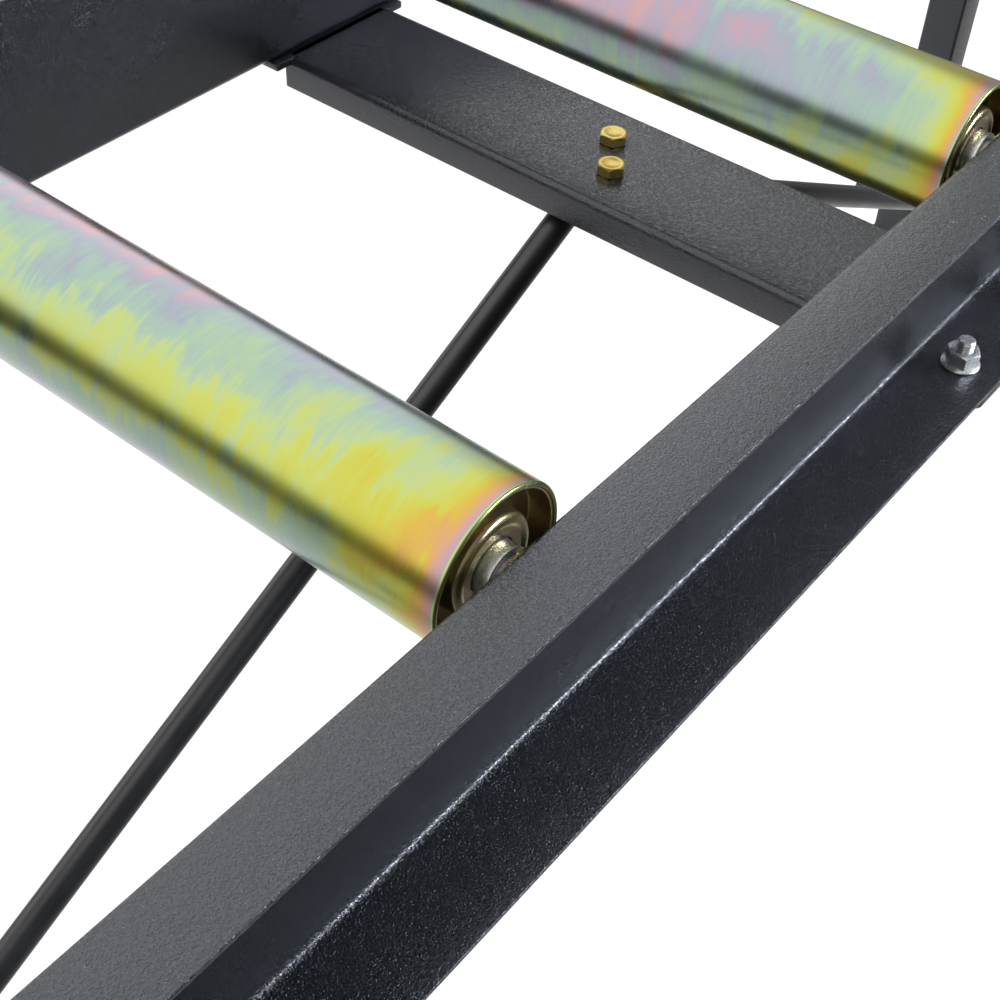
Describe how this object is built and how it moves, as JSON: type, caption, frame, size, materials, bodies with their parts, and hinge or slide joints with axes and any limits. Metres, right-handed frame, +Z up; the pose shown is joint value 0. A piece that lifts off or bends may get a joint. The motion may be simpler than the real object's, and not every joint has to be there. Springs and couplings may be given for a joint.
{
  "type": "roller stand",
  "caption": "Long low roller stand: a row of free-running steel rollers between two channel rails, on braced leg frames with clamped telescopic legs and levelling feet.",
  "frame": {"origin": "on the floor, under the middle of the stand, with the legs pushed in", "axes": "+X across the stand along the rollers, +Y along the rails, +Z up"},
  "size_m": [0.53, 2, 0.8],
  "materials": {
    "powder_coat": "fine-textured dark powder coat, low sheen",
    "satin_black": "smooth satin black coating",
    "yellow_zinc": "yellow passivated zinc plate with drifting green, blue and pink interference colour",
    "yellow_zinc_pressing": "yellow passivated zinc plate on pressed sheet",
    "yellow_zinc_fastener": "yellow passivated zinc plate on bolts",
    "bright_zinc": "bright blue-passivated zinc plate",
    "axle_steel": "drawn bright steel bar",
    "bearing_steel": "ground bearing steel",
    "black_plastic": "moulded black plastic, fine grain"
  },
  "bodies": {
    "frame": {"rail_left": "powder_coat", "rail_right": "powder_coat", "centre_crossmember": "powder_coat", "leg_frame_front": "powder_coat", "leg_frame_rear": "powder_coat", "roller_axles": "axle_steel", "bearing_inner_rings": "bearing_steel", "axle_spacers": "bright_zinc", "axle_washers": "yellow_zinc_pressing", "axle_nuts": "bright_zinc", "frame_bolts": "bright_zinc", "flange_nuts": "bright_zinc", "stay_front": "satin_black", "stay_rear": "satin_black", "stay_bolts": "yellow_zinc_fastener", "leg_collars": "black_plastic"},
    "roller_1": {"roller_1_tube": "yellow_zinc", "roller_1_housings": "yellow_zinc_pressing", "roller_1_bearing_rings": "bearing_steel"},
    "ball_cages_1": {"roller_1_ball_cages": "bearing_steel"},
    "roller_2": {"roller_2_tube": "yellow_zinc", "roller_2_housings": "yellow_zinc_pressing", "roller_2_bearing_rings": "bearing_steel"},
    "ball_cages_2": {"roller_2_ball_cages": "bearing_steel"},
    "roller_3": {"roller_3_tube": "yellow_zinc", "roller_3_housings": "yellow_zinc_pressing", "roller_3_bearing_rings": "bearing_steel"},
    "ball_cages_3": {"roller_3_ball_cages": "bearing_steel"},
    "roller_4": {"roller_4_tube": "yellow_zinc", "roller_4_housings": "yellow_zinc_pressing", "roller_4_bearing_rings": "bearing_steel"},
    "ball_cages_4": {"roller_4_ball_cages": "bearing_steel"},
    "roller_5": {"roller_5_tube": "yellow_zinc", "roller_5_housings": "yellow_zinc_pressing", "roller_5_bearing_rings": "bearing_steel"},
    "ball_cages_5": {"roller_5_ball_cages": "bearing_steel"},
    "roller_6": {"roller_6_tube": "yellow_zinc", "roller_6_housings": "yellow_zinc_pressing", "roller_6_bearing_rings": "bearing_steel"},
    "ball_cages_6": {"roller_6_ball_cages": "bearing_steel"},
    "roller_7": {"roller_7_tube": "yellow_zinc", "roller_7_housings": "yellow_zinc_pressing", "roller_7_bearing_rings": "bearing_steel"},
    "ball_cages_7": {"roller_7_ball_cages": "bearing_steel"},
    "leg_front_left": {"leg_inner_front_left": "bright_zinc", "leg_plug_front_left": "black_plastic"},
    "knob_front_left": {"clamp_knob_front_left": "black_plastic"},
    "foot_front_left": {"levelling_foot_front_left": "black_plastic"},
    "leg_front_right": {"leg_inner_front_right": "bright_zinc", "leg_plug_front_right": "black_plastic"},
    "knob_front_right": {"clamp_knob_front_right": "black_plastic"},
    "foot_front_right": {"levelling_foot_front_right": "black_plastic"},
    "leg_rear_left": {"leg_inner_rear_left": "bright_zinc", "leg_plug_rear_left": "black_plastic"},
    "knob_rear_left": {"clamp_knob_rear_left": "black_plastic"},
    "foot_rear_left": {"levelling_foot_rear_left": "black_plastic"},
    "leg_rear_right": {"leg_inner_rear_right": "bright_zinc", "leg_plug_rear_right": "black_plastic"},
    "knob_rear_right": {"clamp_knob_rear_right": "black_plastic"},
    "foot_rear_right": {"levelling_foot_rear_right": "black_plastic"}
  },
  "joints": [
    {"name": "roller_1_spin", "type": "hinge", "parent": "frame", "child": "roller_1", "pos_m": [0, -0.95, 0.77], "axis": [1, 0, 0], "continuous": true},
    {"name": "roller_2_spin", "type": "hinge", "parent": "frame", "child": "roller_2", "pos_m": [0, -0.63333, 0.77], "axis": [1, 0, 0], "continuous": true},
    {"name": "roller_3_spin", "type": "hinge", "parent": "frame", "child": "roller_3", "pos_m": [0, -0.31667, 0.77], "axis": [1, 0, 0], "continuous": true},
    {"name": "roller_4_spin", "type": "hinge", "parent": "frame", "child": "roller_4", "pos_m": [0, 0, 0.77], "axis": [1, 0, 0], "continuous": true},
    {"name": "roller_5_spin", "type": "hinge", "parent": "frame", "child": "roller_5", "pos_m": [0, 0.31667, 0.77], "axis": [1, 0, 0], "continuous": true},
    {"name": "roller_6_spin", "type": "hinge", "parent": "frame", "child": "roller_6", "pos_m": [0, 0.63333, 0.77], "axis": [1, 0, 0], "continuous": true},
    {"name": "roller_7_spin", "type": "hinge", "parent": "frame", "child": "roller_7", "pos_m": [0, 0.95, 0.77], "axis": [1, 0, 0], "continuous": true},
    {"name": "ball_cages_1_spin", "type": "hinge", "parent": "frame", "child": "ball_cages_1", "pos_m": [0, -0.95, 0.77], "axis": [1, 0, 0], "continuous": true},
    {"name": "ball_cages_2_spin", "type": "hinge", "parent": "frame", "child": "ball_cages_2", "pos_m": [0, -0.63333, 0.77], "axis": [1, 0, 0], "continuous": true},
    {"name": "ball_cages_3_spin", "type": "hinge", "parent": "frame", "child": "ball_cages_3", "pos_m": [0, -0.31667, 0.77], "axis": [1, 0, 0], "continuous": true},
    {"name": "ball_cages_4_spin", "type": "hinge", "parent": "frame", "child": "ball_cages_4", "pos_m": [0, 0, 0.77], "axis": [1, 0, 0], "continuous": true},
    {"name": "ball_cages_5_spin", "type": "hinge", "parent": "frame", "child": "ball_cages_5", "pos_m": [0, 0.31667, 0.77], "axis": [1, 0, 0], "continuous": true},
    {"name": "ball_cages_6_spin", "type": "hinge", "parent": "frame", "child": "ball_cages_6", "pos_m": [0, 0.63333, 0.77], "axis": [1, 0, 0], "continuous": true},
    {"name": "ball_cages_7_spin", "type": "hinge", "parent": "frame", "child": "ball_cages_7", "pos_m": [0, 0.95, 0.77], "axis": [1, 0, 0], "continuous": true},
    {"name": "leg_front_left_slide", "type": "slide", "parent": "frame", "child": "leg_front_left", "axis": [0, 0, -1], "range_m": [0, 0.3]},
    {"name": "leg_front_right_slide", "type": "slide", "parent": "frame", "child": "leg_front_right", "axis": [0, 0, -1], "range_m": [0, 0.3]},
    {"name": "leg_rear_left_slide", "type": "slide", "parent": "frame", "child": "leg_rear_left", "axis": [0, 0, -1], "range_m": [0, 0.3]},
    {"name": "leg_rear_right_slide", "type": "slide", "parent": "frame", "child": "leg_rear_right", "axis": [0, 0, -1], "range_m": [0, 0.3]},
    {"name": "clamp_front_left_turn", "type": "hinge", "parent": "frame", "child": "knob_front_left", "pos_m": [-0.241, -0.95, 0.0993], "axis": [-1, 0, 0], "range_deg": [0, 360]},
    {"name": "clamp_front_right_turn", "type": "hinge", "parent": "frame", "child": "knob_front_right", "pos_m": [0.241, -0.95, 0.0993], "axis": [1, 0, 0], "range_deg": [0, 360]},
    {"name": "clamp_rear_left_turn", "type": "hinge", "parent": "frame", "child": "knob_rear_left", "pos_m": [-0.241, 0.95, 0.0993], "axis": [-1, 0, 0], "range_deg": [0, 360]},
    {"name": "clamp_rear_right_turn", "type": "hinge", "parent": "frame", "child": "knob_rear_right", "pos_m": [0.241, 0.95, 0.0993], "axis": [1, 0, 0], "range_deg": [0, 360]},
    {"name": "foot_front_left_adjust", "type": "slide", "parent": "leg_front_left", "child": "foot_front_left", "axis": [0, 0, -1], "range_m": [0, 0.02]},
    {"name": "foot_front_right_adjust", "type": "slide", "parent": "leg_front_right", "child": "foot_front_right", "axis": [0, 0, -1], "range_m": [0, 0.02]},
    {"name": "foot_rear_left_adjust", "type": "slide", "parent": "leg_rear_left", "child": "foot_rear_left", "axis": [0, 0, -1], "range_m": [0, 0.02]},
    {"name": "foot_rear_right_adjust", "type": "slide", "parent": "leg_rear_right", "child": "foot_rear_right", "axis": [0, 0, -1], "range_m": [0, 0.02]}
  ],
  "couplings": [
    {"joint": "ball_cages_1_spin", "follows": "roller_1_spin", "ratio": 0.619},
    {"joint": "ball_cages_2_spin", "follows": "roller_2_spin", "ratio": 0.619},
    {"joint": "ball_cages_3_spin", "follows": "roller_3_spin", "ratio": 0.619},
    {"joint": "ball_cages_4_spin", "follows": "roller_4_spin", "ratio": 0.619},
    {"joint": "ball_cages_5_spin", "follows": "roller_5_spin", "ratio": 0.619},
    {"joint": "ball_cages_6_spin", "follows": "roller_6_spin", "ratio": 0.619},
    {"joint": "ball_cages_7_spin", "follows": "roller_7_spin", "ratio": 0.619}
  ]
}
